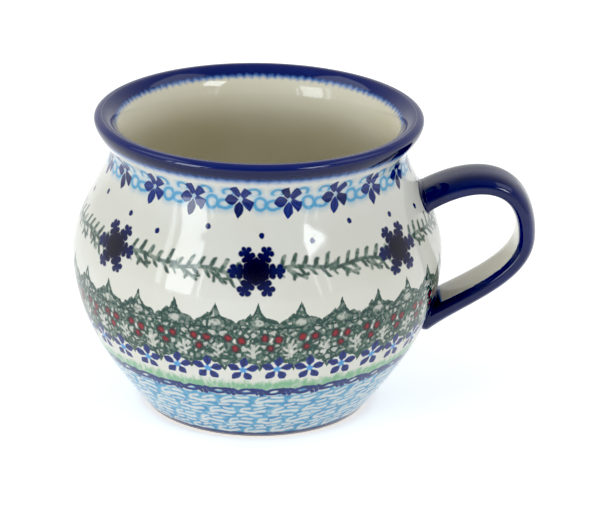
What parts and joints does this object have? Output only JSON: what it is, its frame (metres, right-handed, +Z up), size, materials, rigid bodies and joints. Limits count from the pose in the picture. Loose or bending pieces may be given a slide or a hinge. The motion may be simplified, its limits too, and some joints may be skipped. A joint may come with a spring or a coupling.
{
  "type": "mug",
  "caption": "Round-bellied glazed stoneware mug with a waisted neck, a flared cobalt lip, a strap handle and stamped folk bands of snowflakes, berries and flowers.",
  "frame": {"origin": "the cup's axis at the level of the foot ring's resting face", "axes": "+Z up along the cup's axis, +X from the axis towards the handle"},
  "size_m": [0.1279, 0.1022, 0.0832],
  "materials": {
    "bare_stoneware": "matte, unglazed",
    "slip": "cobalt-painted slip under glaze",
    "decorated_glaze": "gloss clear glaze over stamped and painted bands",
    "clear_glaze": "gloss clear glaze",
    "cobalt_glaze": "gloss clear glaze over cobalt"
  },
  "bodies": {
    "root": {"body": "bare_stoneware", "handle": "bare_stoneware", "upper_slip_joint": "slip", "lower_slip_joint": "slip", "outer_glaze": "decorated_glaze", "inner_glaze": "clear_glaze", "base_glaze": "clear_glaze", "handle_glaze": "cobalt_glaze"}
  },
  "joints": []
}
